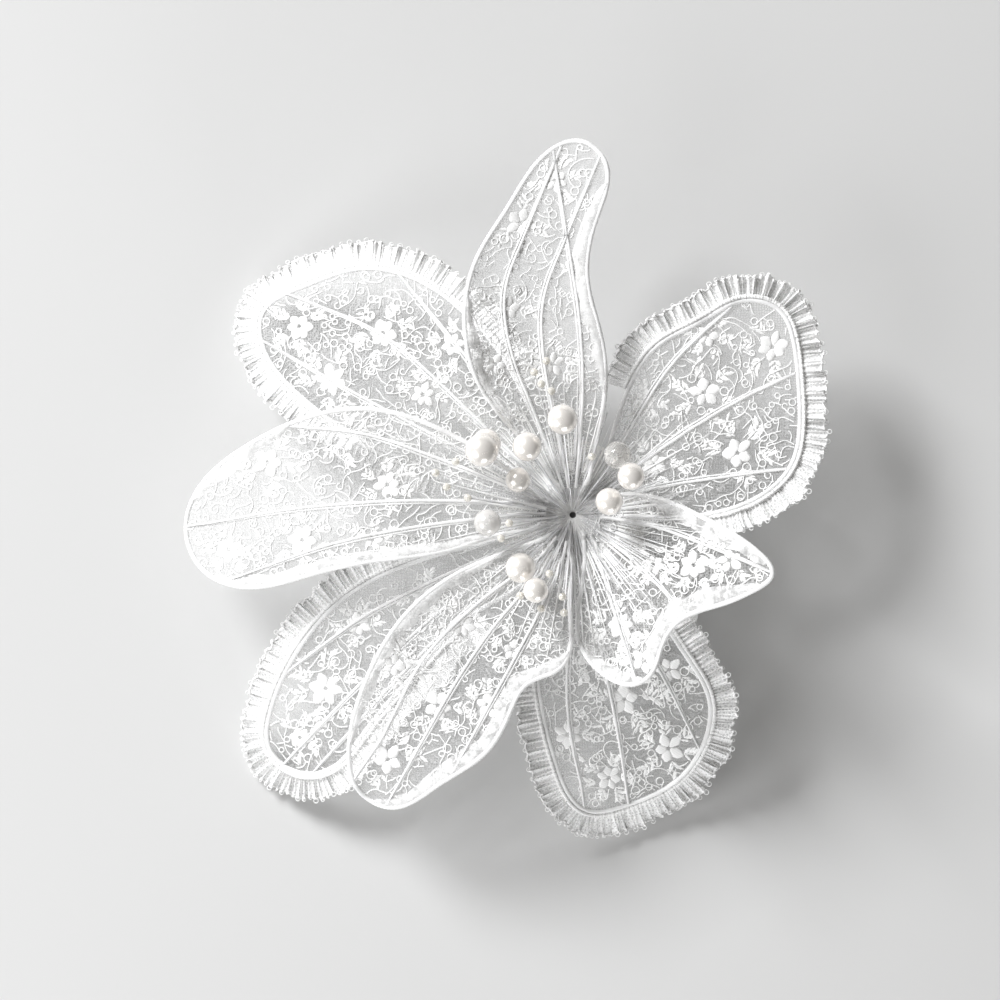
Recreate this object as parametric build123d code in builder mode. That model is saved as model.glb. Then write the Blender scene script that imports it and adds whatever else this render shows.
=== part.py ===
"""Lace flower on a spring hair clip.

Wired petals of embroidered net stand in two rings round a bunch of pearl stamens. Their wire
stems are bound with thread, stand through a felt base and are held on the upper jaw of a
hinged steel clip. Millimetres, +Z up out of the flower's face. The origin is on the flat
underside of the lower jaw, straight below the throat of the flower.
"""

import os
from dataclasses import dataclass
from math import atan2, cos, degrees, hypot, radians, sin, tan

from build123d import *

os.makedirs("parts", exist_ok=True)

# ---------------------------------------------------------------- driving dimensions
# spring clip: u runs along it from the toothed tip (-) to the finger tails (+)
clip_turn = -45.0  # the clip's length direction in the XY plane, in degrees from +X
sheet_steel = 0.8
jaw_reach = 33.0
tail_reach = 33.0
pin_place = 18.0
jaw_width_root = 9.0
jaw_width_tip = 5.4
clip_height = 8.8  # underside of the lower jaw to the top of the upper jaw
tail_lift = 24.0  # slope of the upper finger tail, in degrees
tail_corner = 3.0
fold_radius = 1.0  # of the sheet's middle, where a jaw is folded
pin_radius = 0.9
pin_head_radius = 1.5
pin_head = 0.7
ear_radius = 2.6
running_clearance = 0.05
side_clearance = 0.2
nose_teeth = 3
tooth_depth = 0.9
teeth_gap = 0.25
spring_wire = 0.6
spring_whole_turns = 3
spring_pitch = 0.7
spring_leg = 8.0
spring_clearance = 0.05

# felt base, strap and bound stems
felt_radius = 15.0
felt_thickness = 2.0
felt_hole_gap = 0.75
strap_width = 11.0
strap_thickness = 0.6
strap_gap = 0.15
strap_flange = 4.0
stem_ring_radius = 3.2  # the petal wires run down on this ring
stem_foot_gap = 0.4
leg_spread = 9.0  # half the angle between a petal's two wire legs, in degrees
leg_top_drop = 0.4  # how far below its petal's throat a leg bends outwards
core_gap = 0.05
binding_gap = 0.05
binding_thread = 0.9
binding_turns = 4
core_rise = 6.2  # from the top of the binding to the top of the stem bundle

# petals
lace_thickness = 0.4
edge_wire_diameter = 0.8
vein_diameter = 0.5
vein_sink = 0.15  # how deep a vein is pressed into the net
back_throat_rise = 2.0  # from the top of the binding to the back petals' throat
front_throat_rise = 7.6
ruffle_width = 5.0
ruffle_thickness = 1.6
ruffle_start = 27.0  # the ruffles begin this far from the flower's axis
ruffle_gap = 0.1  # between the edge wire and the ruffle's sewn side
petal_margin = 8.0
surface_points = 9
cut_depth = 50.0  # outlines are drawn this far below the clip, and cut this far up
cut_height = 150.0

# stamens
pearl_stem = 0.4
filament_diameter = 0.3
filament_count = 26
filament_reach = 17.0
filament_top = 31.0
stem_rise = 4.4  # every stem stands nearly upright this far above the bound stem
glue_gap = 0.02
seed_bead_radius = 0.8

# heights up the stem: the petals and stamens stand on the bound stem, whatever the clip's height
binding_top = clip_height + felt_thickness + binding_turns * binding_thread
core_top = binding_top + core_rise
back_throat = binding_top + back_throat_rise
front_throat = binding_top + front_throat_rise


@dataclass
class Petal:
    """A wired petal: its plan outline, and the few numbers that shape its surface."""

    name: str
    heading: float  # plan direction of its length, in degrees
    seat: float  # where its two wire legs stand in the bound stem, in degrees
    length: float
    half_width: float
    throat: float  # height of its plain slope at the flower's axis
    tip: float  # height of its tip
    arch: float  # how far its middle stands above the plain slope
    cup: float  # how far its long edges stand above its middle line
    lean: float  # how far its left edge stands above its middle line, and its right one below
    outline: list  # plan points from one side of the neck, round the tip, to the other
    veins: list  # plan points of each vein wire, from neck to tip
    ruffled: bool = False

    def height(self, x, y):
        """Height of the petal's middle surface over a plan point."""
        turn = radians(self.heading)
        along = (x * cos(turn) + y * sin(turn)) / self.length
        across = (y * cos(turn) - x * sin(turn)) / self.half_width
        slope = self.throat + (self.tip - self.throat) * along**2
        return slope + 4 * self.arch * along * (1 - along) + self.cup * across**2 + self.lean * across

    def on_surface(self, points, lift=0.0):
        return [(x, y, self.height(x, y) + lift) for x, y in points]


petals = [
    Petal(
        "front_top", 98, 86, 76, 17, front_throat, 33, 8, 3, 2,
        [(-3, 6), (-11, 16), (-19, 26.6), (-21.6, 38), (-19.6, 50), (-12.5, 62), (-5, 72.2),
         (1.6, 74.4), (6.4, 70), (4.6, 59), (2.8, 46.5), (5.4, 36), (6.2, 23), (3.8, 10.5), (1.8, 5.6)],
        [[(-4, 11), (-12.5, 32), (-14.5, 44), (-7.5, 61)], [(-1.6, 10), (-6, 30), (-6.6, 43), (1.4, 62)],
         [(1, 10), (2.2, 26), (1.2, 40), (-0.4, 50)]],
    ),
    Petal(
        "front_left", 179, 176, 78, 18, front_throat, 14, 9, 2, 1,
        [(-6, 3.4), (-14.6, 10.2), (-27.6, 17.6), (-41, 21.2), (-54, 19.2), (-66, 13.4), (-75.4, 5),
         (-77.8, -3.2), (-73.6, -11.6), (-66, -14.4), (-52, -11.7), (-38, -8.9), (-25, -7), (-13, -3.6),
         (-6, -1)],
        [[(-10, 5), (-26, 11), (-41, 16.5), (-55, 17.6)], [(-10, 2.4), (-32, 3.2), (-55, 1.6), (-75, -2)],
         [(-10, 0.4), (-30, -2), (-48, -5.4), (-66, -12)]],
    ),
    Petal(
        "front_lower_left", 235, 250, 70, 17, front_throat, 17, 8, 3, -1,
        [(-5.4, -4.6), (-12.6, -7.2), (-24.4, -12.4), (-34.1, -20.6), (-41.6, -33.7), (-44.8, -46),
         (-42.8, -55.6), (-36.4, -58.8), (-27, -54), (-17.5, -47.4), (-12.6, -39.2), (-9, -33.4),
         (-2.8, -30.6), (-0.5, -26), (-0.8, -16), (-1.4, -6.6)],
        [[(-6, -8), (-20, -18), (-30, -28), (-39, -46)], [(-4, -9), (-16, -22), (-24, -34), (-35, -54)],
         [(-2.4, -10), (-7, -20), (-13, -31), (-20, -44)]],
    ),
    Petal(
        "front_lower_right", -32, -25, 41, 19, front_throat, 40, 3, 3, 3,
        [(2.2, -5.4), (1.5, -16), (1.5, -26), (6.2, -31.8), (12.6, -33.6), (15.6, -31.4), (17.6, -26),
         (21.6, -20.6), (28.4, -18), (35.5, -15), (39.4, -11.6), (36.6, -7.4), (27.5, -1.4), (18, 3),
         (10.6, 4.2), (5.4, 2.6)],
        [[(4.4, -5), (6.6, -14), (9, -22), (11.6, -30)], [(6.4, -4), (12, -9), (17, -14), (21, -18.6)],
         [(7.4, -0.6), (16, -2), (25, -5.4), (35, -9.6)]],
    ),
    Petal(
        "back_upper_left", 145, 133, 75, 21, back_throat, 8, 8, 2, 0,
        [(-7, 2.6), (-16, 4.6), (-30, 9.4), (-44, 16), (-56, 25), (-62.4, 33.8), (-62.6, 40.6),
         (-54, 46.2), (-42, 49.6), (-31.6, 47.4), (-21.5, 40.3), (-13.6, 31), (-8, 20), (-4.6, 7)],
        [[(-8, 5.6), (-26, 15), (-43, 24), (-57, 32)], [(-7.4, 7.6), (-24, 24), (-38, 37), (-56, 44)],
         [(-6, 9), (-15, 23), (-23, 34), (-33, 46)]],
        ruffled=True,
    ),
    Petal(
        "back_upper_right", 32, 30, 56, 19, back_throat, 25, 4, 2, -1,
        [(4.8, 6.4), (7.4, 14), (10.6, 24), (17, 34), (26, 39), (33.5, 42.8), (41, 41.2), (44.6, 32),
         (45.4, 21), (43.6, 10), (36, 3), (26, 0), (15, -1), (6.8, 0.6)],
        [[(6.6, 8), (13, 20), (20, 31), (29, 39.2)], [(7.6, 6), (20, 15), (32, 22.5), (42.4, 27.4)],
         [(8, 3.4), (19, 6), (30, 7.6), (41, 9)]],
        ruffled=True,
    ),
    Petal(
        "back_lower_left", 219, 214, 78, 19, back_throat, 4.5, 7, 2, 0,
        [(-7, -2.6), (-20, -6), (-33.5, -10), (-46.4, -17), (-55.6, -27.6), (-61, -39.4), (-61.4, -47),
         (-56, -52), (-49, -51.4), (-42, -44), (-31, -31), (-18, -18.6), (-6.4, -6.6)],
        [[(-8, -4.6), (-26, -12), (-42, -20), (-54, -29)], [(-8, -5.6), (-25, -17.5), (-42, -33), (-57, -49)],
         [(-7.6, -6.4), (-20, -17.4), (-34, -31.4), (-47, -46)]],
        ruffled=True,
    ),
    Petal(
        "back_bottom", 284, 288, 61, 17, back_throat, 5.5, 7, 2, 0,
        [(-1.2, -7), (-4.6, -16), (-7.2, -28), (-6.4, -38), (-3.6, -49.4), (2.6, -59.6), (12, -58.4),
         (21.4, -53.4), (26.8, -45), (27.4, -37), (22.8, -28.4), (15.4, -17.4), (9, -9), (4.2, -4.8)],
        [[(0.6, -8), (-1, -24), (-1.4, -40), (2, -56)], [(2, -8), (5.4, -26), (9, -43), (11, -56)],
         [(4, -7.6), (12, -22), (19, -34), (24, -44)]],
        ruffled=True,
    ),
]

# each pearl: the place of its centre, and its radius
pearls = [
    ((-18.2, 12.9, 40.0), 3.3),
    ((-17.3, 14.3, 32.8), 2.9),
    ((-9.2, 13.6, 36.5), 2.9),
    ((-2.2, 19.0, 38.0), 3.0),
    ((-11.0, 7.0, 34.5), 2.5),
    ((-17.1, -1.5, 35.0), 2.7),
    ((-10.5, -10.5, 34.5), 3.0),
    ((-7.5, -14.9, 38.5), 2.5),
    ((7.1, 2.7, 34.0), 2.75),
    ((11.4, 7.7, 37.5), 2.7),
    ((8.8, 11.9, 34.0), 2.75),
]

seed_beads = [
    (-7.8, 28.4, 36.0), (-5.4, 30.6, 37.0), (-6.4, 26.0, 38.0), (-4.4, 24.6, 38.6),
    (-27.4, 8.4, 35.4), (-25.2, 5.6, 36.0), (-23.4, 10.6, 38.2), (-21.0, 3.4, 37.2),
    (-14.4, -4.6, 38.4), (-12.8, -1.6, 40.0), (-6.4, -18.6, 34.6), (-2.2, -16.2, 37.0),
    (-1.9, -19.4, 36.0), (-4.8, -11.6, 40.2), (-10.6, -16.0, 36.6), (3.6, 11.6, 36.6),
]

# ---------------------------------------------------------------- worked-out places
clip_plane = Plane.XY.rotated((0, 0, clip_turn))
side_plane = Plane(origin=(0, 0, 0), x_dir=clip_plane.x_dir, z_dir=-clip_plane.y_dir)
pin_height = clip_height / 2
root_half = jaw_width_root / 2
tip_half = jaw_width_tip / 2
inner_half = root_half - sheet_steel - side_clearance  # half the lower jaw's width at the hinge
upper_middle = clip_height - sheet_steel / 2
lower_middle = sheet_steel / 2
upper_underside = clip_height - sheet_steel
tail_start = pin_place + ear_radius + sheet_steel
nose_place = -jaw_reach + sheet_steel / 2

leg_foot = clip_height + stem_foot_gap
felt_top = clip_height + felt_thickness
leg_radius = edge_wire_diameter / 2
core_radius = stem_ring_radius - leg_radius - core_gap
binding_inner = stem_ring_radius + leg_radius + binding_gap
felt_hole = binding_inner + felt_hole_gap


def save(piece, name):
    """Writes one sub-part as a STEP file of its own."""
    piece.label = name
    export_step(piece, f"parts/{name}.step")


def polar(radius, angle):
    return (radius * cos(radians(angle)), radius * sin(radians(angle)))


# ---------------------------------------------------------------- clip jaws
def jaw(route, half_width, teeth_middle, teeth_side):
    """A jaw folded from one strip: its side view is the route, its plan tapers to the toothed nose.

    teeth_side is +1 for a jaw that stands above its teeth and -1 for one below them.
    """
    with BuildPart() as made:
        with BuildSketch(side_plane):
            with BuildLine():
                FilletPolyline(*route, radius=fold_radius)
            trace(line_width=sheet_steel)
        extrude(amount=half_width, both=True)
        with BuildSketch(clip_plane.offset(-clip_height)) as plan:
            with BuildLine():
                shoulder = pin_place - ear_radius
                Polyline(
                    (tail_reach, -half_width), (tail_reach, half_width), (shoulder, half_width),
                    (-jaw_reach, tip_half), (-jaw_reach, -tip_half), (shoulder, -half_width), close=True,
                )
            make_face()
            fillet(plan.vertices().group_by(Axis.X)[-1], tail_corner)
        extrude(amount=4 * clip_height, mode=Mode.INTERSECT)
        # ears, with their holes
        for start in (half_width - sheet_steel, -half_width):
            with BuildSketch(side_plane.offset(start)):
                with Locations((pin_place, pin_height)):
                    Circle(ear_radius)
                with Locations((pin_place, pin_height + teeth_side * (pin_height - lower_middle) / 2)):
                    Rectangle(2 * ear_radius, pin_height - lower_middle)
            extrude(amount=sheet_steel)
        hole = pin_radius if teeth_side > 0 else pin_radius + running_clearance
        with BuildSketch(side_plane.offset(-half_width)):
            with Locations((pin_place, pin_height)):
                Circle(hole)
        extrude(amount=2 * half_width, mode=Mode.SUBTRACT)
        # teeth: a zigzag that clears everything past it
        tooth_step = jaw_width_tip / (2 * nose_teeth)
        nose_plane = Plane(
            origin=clip_plane.x_dir * (-jaw_reach - sheet_steel), x_dir=clip_plane.y_dir, z_dir=clip_plane.x_dir
        )
        zigzag = [
            (-tip_half + i * tooth_step, teeth_middle + (tooth_depth / 2 if i % 2 else -tooth_depth / 2))
            for i in range(-2, 2 * nose_teeth + 3)
        ]
        past = teeth_middle - teeth_side * pin_height / 2
        with BuildSketch(nose_plane):
            with BuildLine():
                Polyline(*zigzag, (zigzag[-1][0], past), (zigzag[0][0], past), close=True)
            make_face()
        extrude(amount=3 * sheet_steel, mode=Mode.SUBTRACT)
    return made.part


nose_overlap = tooth_depth  # the folded noses reach past the teeth's middle before they are cut
tail_rise = (tail_reach - tail_start) * tan(radians(tail_lift))
upper_route = [
    (nose_place, pin_height - nose_overlap), (nose_place, upper_middle), (tail_start, upper_middle),
    (tail_reach, upper_middle + tail_rise),
]
lower_route = [(nose_place, pin_height + nose_overlap), (nose_place, lower_middle), (tail_reach, lower_middle)]
save(jaw(upper_route, root_half, pin_height + teeth_gap / 2, 1), "upper_jaw")
save(jaw(lower_route, inner_half, pin_height - teeth_gap / 2, -1), "lower_jaw")

# ---------------------------------------------------------------- hinge pin and spring
with BuildPart() as hinge_pin:
    for start, length, radius in (
        (-root_half, 2 * root_half, pin_radius),
        (root_half, pin_head, pin_head_radius),
        (-root_half - pin_head, pin_head, pin_head_radius),
    ):
        with BuildSketch(side_plane.offset(start)):
            with Locations((pin_place, pin_height)):
                Circle(radius)
        extrude(amount=length)
save(hinge_pin.part, "hinge_pin")

# the upper leg lies along the underside of the finger tail, the lower one ends on the lower blade
tail_distance = (upper_underside - pin_height) * cos(radians(tail_lift)) - (tail_start - pin_place) * sin(
    radians(tail_lift)
)
spring_radius = tail_distance - spring_wire / 2 - spring_clearance
lower_drop = pin_height - sheet_steel - spring_wire / 2 - spring_clearance
leg_slope = degrees(atan2(lower_drop, spring_leg) - atan2(spring_radius, spring_leg))
spring_turns = spring_whole_turns + (180 - tail_lift - leg_slope) / 360
spring_height = spring_pitch * spring_turns
spring_start = side_plane.from_local_coords((pin_place, pin_height, -spring_height / 2))
spring_plane = Plane(
    origin=spring_start,
    x_dir=side_plane.x_dir * cos(radians(90 + tail_lift)) + Vector(0, 0, 1) * sin(radians(90 + tail_lift)),
    z_dir=side_plane.z_dir,
)
coil = Helix(spring_pitch, spring_height, spring_radius).moved(spring_plane.location)
with BuildPart() as clip_spring:
    with BuildLine() as route:
        Line((coil @ 0) - (coil % 0) * spring_leg, coil @ 0)
        add(coil)
        Line(coil @ 1, (coil @ 1) + (coil % 1) * spring_leg)
    with BuildSketch(Plane(origin=(coil @ 0) - (coil % 0) * spring_leg, z_dir=coil % 0)):
        Circle(spring_wire / 2)
    sweep(path=route.line)
save(clip_spring.part, "clip_spring")

# ---------------------------------------------------------------- felt base, strap and bound stem
with BuildPart() as felt_base:
    with BuildSketch(Plane.XY.offset(clip_height)):
        Circle(felt_radius)
        Circle(felt_hole, mode=Mode.SUBTRACT)
    extrude(amount=felt_thickness)
save(felt_base.part, "felt_base")

strap_half = root_half + strap_gap + strap_thickness / 2
strap_low = upper_underside - strap_gap - strap_thickness / 2
strap_high = clip_height - strap_thickness / 2
strap_plane = Plane(
    origin=clip_plane.x_dir * (-strap_width / 2), x_dir=clip_plane.y_dir, z_dir=clip_plane.x_dir
)
with BuildPart() as felt_strap:
    with BuildSketch(strap_plane):
        with Locations((0, strap_low)):
            Rectangle(2 * strap_half + strap_thickness, strap_thickness)
        for side in (-1, 1):
            with Locations((side * strap_half, (strap_low + strap_high) / 2)):
                Rectangle(strap_thickness, strap_high - strap_low + strap_thickness)
            with Locations((side * (strap_half + strap_flange / 2), strap_high)):
                Rectangle(strap_flange, strap_thickness)
    extrude(amount=strap_width)
save(felt_strap.part, "felt_strap")

with BuildPart() as stem_bundle:
    with BuildSketch(Plane.XY.offset(leg_foot)):
        Circle(core_radius)
    extrude(amount=core_top - leg_foot)
save(stem_bundle.part, "stem_bundle")

with BuildPart() as binding:
    with BuildSketch(Plane.XZ):
        with BuildLine():
            groove = binding_inner + binding_thread / 2
            Polyline(
                (groove, felt_top), (binding_inner, felt_top), (binding_inner, binding_top), (groove, binding_top)
            )
            for i in range(binding_turns):
                low = felt_top + i * binding_thread
                ThreePointArc(
                    (groove, low), (binding_inner + binding_thread, low + binding_thread / 2),
                    (groove, low + binding_thread),
                )
        make_face()
    revolve(axis=Axis.Z)
save(binding.part, "binding_thread")


# ---------------------------------------------------------------- wires
def corner_radii(points):
    """A bend radius for each corner of a wire, as large as the two runs beside it allow."""
    radii = []
    for before, corner, after in zip(points, points[1:], points[2:]):
        run_in = Vector(*corner) - Vector(*before)
        run_out = Vector(*after) - Vector(*corner)
        half_turn = radians(run_in.get_angle(run_out)) / 2
        radii.append(0.45 * min(run_in.length, run_out.length) / tan(half_turn))
    return radii


def wire(points, diameter):
    """A round wire along straight runs joined by bends."""
    with BuildPart() as made:
        with BuildLine() as route:
            FilletPolyline(*points, radius=corner_radii(points))
        with BuildSketch(Plane(origin=route.line @ 0, z_dir=route.line % 0)):
            Circle(diameter / 2)
        sweep(path=route.line)
    return made.part


def group(pieces):
    """Separate solids that share one node."""
    return Compound(children=pieces)


# ---------------------------------------------------------------- petals
def moved_outline(points, distance):
    """The outline's points moved outwards, each square to the line through its neighbours."""
    count = len(points)
    area = sum(
        points[i - 1][0] * points[i][1] - points[i][0] * points[i - 1][1] for i in range(count)
    )
    outwards = 1 if area > 0 else -1
    moved = []
    for i in range(count):
        before, after = points[i - 1], points[(i + 1) % count]
        dx, dy = after[0] - before[0], after[1] - before[1]
        scale = outwards * distance / hypot(dx, dy)
        moved.append((points[i][0] + dy * scale, points[i][1] - dx * scale))
    return moved


def petal_sheet(petal, thickness):
    """A curved slab over the petal's whole surroundings, centred on its middle surface."""
    xs = [x for x, y in petal.outline]
    ys = [y for x, y in petal.outline]
    steps = [i / (surface_points - 1) for i in range(surface_points)]
    low_x, high_x = min(xs) - petal_margin, max(xs) + petal_margin
    low_y, high_y = min(ys) - petal_margin, max(ys) + petal_margin
    rows = [
        petal.on_surface([(low_x + s * (high_x - low_x), low_y + t * (high_y - low_y)) for t in steps],
                         -thickness / 2)
        for s in steps
    ]
    surface = Face.make_surface_from_array_of_points([[Vector(*p) for p in row] for row in rows])
    return Solid.extrude(surface, Vector(0, 0, thickness))


def outline_face(points):
    """A closed smooth outline, below everything."""
    with BuildSketch(Plane.XY.offset(-cut_depth)) as plan:
        with BuildLine():
            Spline(*points, periodic=True)
        make_face()
    return plan.sketch


def lace(petal):
    slab = petal_sheet(petal, lace_thickness)
    with BuildPart() as made:
        add(slab)
        extrude(outline_face(petal.outline), amount=cut_height, mode=Mode.INTERSECT)
    return made.part


def ruffle(petal):
    slab = petal_sheet(petal, ruffle_thickness)
    sewn_side = edge_wire_diameter / 2 + ruffle_gap
    with BuildPart() as made:
        add(slab)
        outer = outline_face(moved_outline(petal.outline, sewn_side + ruffle_width))
        extrude(outer, amount=cut_height, mode=Mode.INTERSECT)
        inner = outline_face(moved_outline(petal.outline, sewn_side))
        extrude(inner, amount=cut_height, mode=Mode.SUBTRACT)
        with BuildSketch(Plane.XY.offset(-cut_depth)):
            Circle(ruffle_start)
        extrude(amount=cut_height, mode=Mode.SUBTRACT)
    return made.part


def edge_wire(petal):
    """One wire: up a leg from the stem, round the petal's edge and down the other leg."""
    first, last = petal.outline[0], petal.outline[-1]
    side = 1 if last[0] * first[1] - last[1] * first[0] > 0 else -1
    bend = petal.throat - leg_top_drop
    legs = [polar(stem_ring_radius, petal.seat + side * turn * leg_spread) for turn in (1, -1)]
    start, end = [[(*leg, leg_foot), (*leg, bend)] for leg in legs]
    return wire([*start, *petal.on_surface(petal.outline), *reversed(end)], edge_wire_diameter)


for petal in petals:
    save(lace(petal), f"{petal.name}_lace")
    save(edge_wire(petal), f"{petal.name}_edge_wire")
    lift = lace_thickness / 2 + vein_diameter / 2 - vein_sink
    save(
        group([wire(petal.on_surface(vein, lift), vein_diameter) for vein in petal.veins]),
        f"{petal.name}_veins",
    )
    if petal.ruffled:
        save(ruffle(petal), f"{petal.name}_ruffle")


# ---------------------------------------------------------------- stamens
def stem_route(foot, end, low_share):
    """From the top of the bound stem, out and up to a point: the middle stays low."""
    middle = (
        foot[0] + 0.62 * (end[0] - foot[0]), foot[1] + 0.62 * (end[1] - foot[1]),
        core_top + low_share * (end[2] - core_top),
    )
    rise = (foot[0] * 1.25, foot[1] * 1.25, core_top + stem_rise)
    return [(*foot, core_top), rise, middle, end]


def drilled_ball(centre, radius, route, stem):
    """A bead with a blind hole for its stem."""
    along = (Vector(*centre) - Vector(*route[-2])).normalized()
    with BuildPart() as made:
        with Locations(Plane(origin=centre, z_dir=along)):
            Sphere(radius)
            Cylinder(
                stem / 2 + glue_gap, 2 * radius, align=(Align.CENTER, Align.CENTER, Align.MAX),
                mode=Mode.SUBTRACT,
            )
    return made.part


def feet(ends, ring):
    """Spreads the stems' feet evenly on a ring, in the order of their ends round the axis."""
    order = sorted(range(len(ends)), key=lambda i: atan2(ends[i][1], ends[i][0]))
    places = {}
    for rank, index in enumerate(order):
        places[index] = polar(ring, -170 + 360 * rank / len(ends))
    return [places[index] for index in range(len(ends))]


stems = []
pearl_feet = feet([place for place, radius in pearls], core_radius * 0.4)
for number, ((place, radius), foot) in enumerate(zip(pearls, pearl_feet), start=1):
    route = stem_route(foot, place, 0.55)
    stems.append(wire(route, pearl_stem))
    save(drilled_ball(place, radius, route, pearl_stem), f"pearl_{number:02d}")
save(group(stems), "pearl_stems")

sprays, beads = [], []
for place, foot in zip(seed_beads, feet(seed_beads, core_radius * 0.65)):
    route = stem_route(foot, place, 0.6)
    sprays.append(wire(route, filament_diameter))
    beads.append(drilled_ball(place, seed_bead_radius, route, filament_diameter))
save(group(sprays), "bead_sprays")
save(group(beads), "seed_beads")

filaments = []
for i in range(filament_count):
    angle = 360 * (i + 0.5) / filament_count
    reach = filament_reach * (1 + 0.18 * sin(5 * radians(angle)))
    end = (*polar(reach, angle), filament_top)
    filaments.append(wire(stem_route(polar(core_radius * 0.9, angle), end, 0.8), filament_diameter))
save(group(filaments), "stamen_filaments")
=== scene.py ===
from math import atan2, cos, hypot, pi, sin, tau

import bmesh
import bpy
import numpy as np
from mathutils import Euler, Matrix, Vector
from mathutils.geometry import delaunay_2d_cdt


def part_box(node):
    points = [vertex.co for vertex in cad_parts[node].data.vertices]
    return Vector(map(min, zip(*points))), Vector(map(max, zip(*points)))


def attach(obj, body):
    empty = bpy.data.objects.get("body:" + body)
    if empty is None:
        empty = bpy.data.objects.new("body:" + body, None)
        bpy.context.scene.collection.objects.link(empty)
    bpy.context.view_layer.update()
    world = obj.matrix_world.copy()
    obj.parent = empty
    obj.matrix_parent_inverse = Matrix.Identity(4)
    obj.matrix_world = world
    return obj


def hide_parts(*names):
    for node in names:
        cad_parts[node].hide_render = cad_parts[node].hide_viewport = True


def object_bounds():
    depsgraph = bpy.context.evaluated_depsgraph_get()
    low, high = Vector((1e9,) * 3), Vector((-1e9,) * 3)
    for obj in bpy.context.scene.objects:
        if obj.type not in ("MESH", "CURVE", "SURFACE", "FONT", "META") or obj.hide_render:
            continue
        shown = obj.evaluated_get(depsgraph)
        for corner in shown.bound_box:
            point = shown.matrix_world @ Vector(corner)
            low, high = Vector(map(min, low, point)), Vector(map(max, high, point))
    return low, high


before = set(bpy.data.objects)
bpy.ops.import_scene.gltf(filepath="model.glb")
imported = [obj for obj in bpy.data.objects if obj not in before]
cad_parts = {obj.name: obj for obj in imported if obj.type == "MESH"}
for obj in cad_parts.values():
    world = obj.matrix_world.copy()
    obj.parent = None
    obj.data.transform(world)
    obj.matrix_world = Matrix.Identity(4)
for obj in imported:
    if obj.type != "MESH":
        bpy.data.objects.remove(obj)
cad_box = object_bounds()

# ------------------------------------------------------------ the table, the light and the camera
# A pale painted table top under one soft lamp, which stands to the upper left of the flower, and
# two weak ones low down to its left and in front. The camera looks straight down through a long
# lens.


class Socket:
    """One output of a shader node: arithmetic on it adds the Math nodes that work it out."""

    def __init__(self, finish, output):
        self.finish, self.output = finish, output

    def math(self, operation, *values):
        made = self.finish.node("ShaderNodeMath", {"operation": operation}, dict(enumerate(values)))
        return made["Value"]

    def __add__(self, other):
        return self.math("ADD", self, other)

    __radd__ = __add__

    def __rsub__(self, other):
        return self.math("SUBTRACT", other, self)

    def __mul__(self, other):
        return self.math("MULTIPLY", self, other)

    __rmul__ = __mul__

    def above(self, edge, soft):
        """0 below the edge and 1 above it, with a soft step."""
        made = self.finish.node(
            "ShaderNodeMapRange", {"interpolation_type": "SMOOTHSTEP"},
            {"Value": self, "From Min": edge - soft, "From Max": edge + soft},
        )
        return made["Result"]


class Finish:
    """A material in the making: its Principled shader's sockets, and nodes added by type."""

    def __init__(self, name, colour, roughness, **sockets):
        self.material = bpy.data.materials.new(name)
        self.material.use_nodes = True
        self.tree = self.material.node_tree
        self.shader = self.tree.nodes["Principled BSDF"]
        self.set(**{"Base Color": (*colour, 1), "Roughness": roughness, **sockets})
        self.place = self.node("ShaderNodeTexCoord")["Object"]

    def set(self, **sockets):
        for name, value in sockets.items():
            self.feed(self.shader.inputs[name], value)

    def feed(self, socket, value):
        if isinstance(value, Socket):
            self.tree.links.new(value.output, socket)
        else:
            socket.default_value = value

    def node(self, kind, settings=None, sockets=None):
        made = self.tree.nodes.new(kind)
        for name, value in (settings or {}).items():
            setattr(made, name, value)
        for name, value in (sockets or {}).items():
            self.feed(made.inputs[name], value)
        return {output.name: Socket(self, output) for output in made.outputs if output.enabled}

    def noise(self, scale, detail=3.0, roughness=0.5):
        sockets = {"Vector": self.place, "Scale": scale, "Detail": detail, "Roughness": roughness}
        return self.node("ShaderNodeTexNoise", {}, sockets)["Fac"]

    def mix(self, factor, first, second):
        """Colour mix: factor 0 gives the first colour and 1 the second."""
        colours = [(*value, 1) if isinstance(value, tuple) else value for value in (first, second)]
        sockets = {0: factor, 6: colours[0], 7: colours[1]}
        return self.node("ShaderNodeMix", {"data_type": "RGBA"}, sockets)["Result"]

    def bump(self, height, depth, strength=1.0):
        sockets = {"Height": height, "Distance": depth, "Strength": strength}
        self.set(Normal=self.node("ShaderNodeBump", {}, sockets)["Normal"])


scene = bpy.context.scene
scene.view_settings.view_transform = "Standard"


def table_finish():
    finish = Finish("table_paint", (0.655, 0.655, 0.652), 0.75, **{"Specular IOR Level": 0.25})
    grain = finish.noise(900, 2)
    cloud = finish.noise(6, 2)
    finish.set(**{"Base Color": finish.mix(cloud, (0.645, 0.645, 0.641), (0.67, 0.67, 0.667))})
    finish.bump(grain, 0.00004, 0.3)
    return finish.material


table = bpy.data.meshes.new("table")
reach = 3.0
corners = [(-reach, -reach, 0), (reach, -reach, 0), (reach, reach, 0), (-reach, reach, 0)]
table.from_pydata(corners, [], [(0, 1, 2, 3)])
table_top = bpy.data.objects.new("table_top", table)
scene.collection.objects.link(table_top)
table_top.data.materials.append(table_finish())
table_top.location.z = cad_box[0][2] - 0.0002


def lamp(name, place, aim, size, power, colour):
    data = bpy.data.lights.new(name, "AREA")
    data.size, data.energy, data.color = size, power, colour
    lamp_object = bpy.data.objects.new(name, data)
    lamp_object.location = place
    lamp_object.rotation_euler = (Vector(aim) - Vector(place)).to_track_quat("-Z", "Y").to_euler()
    scene.collection.objects.link(lamp_object)


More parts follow.
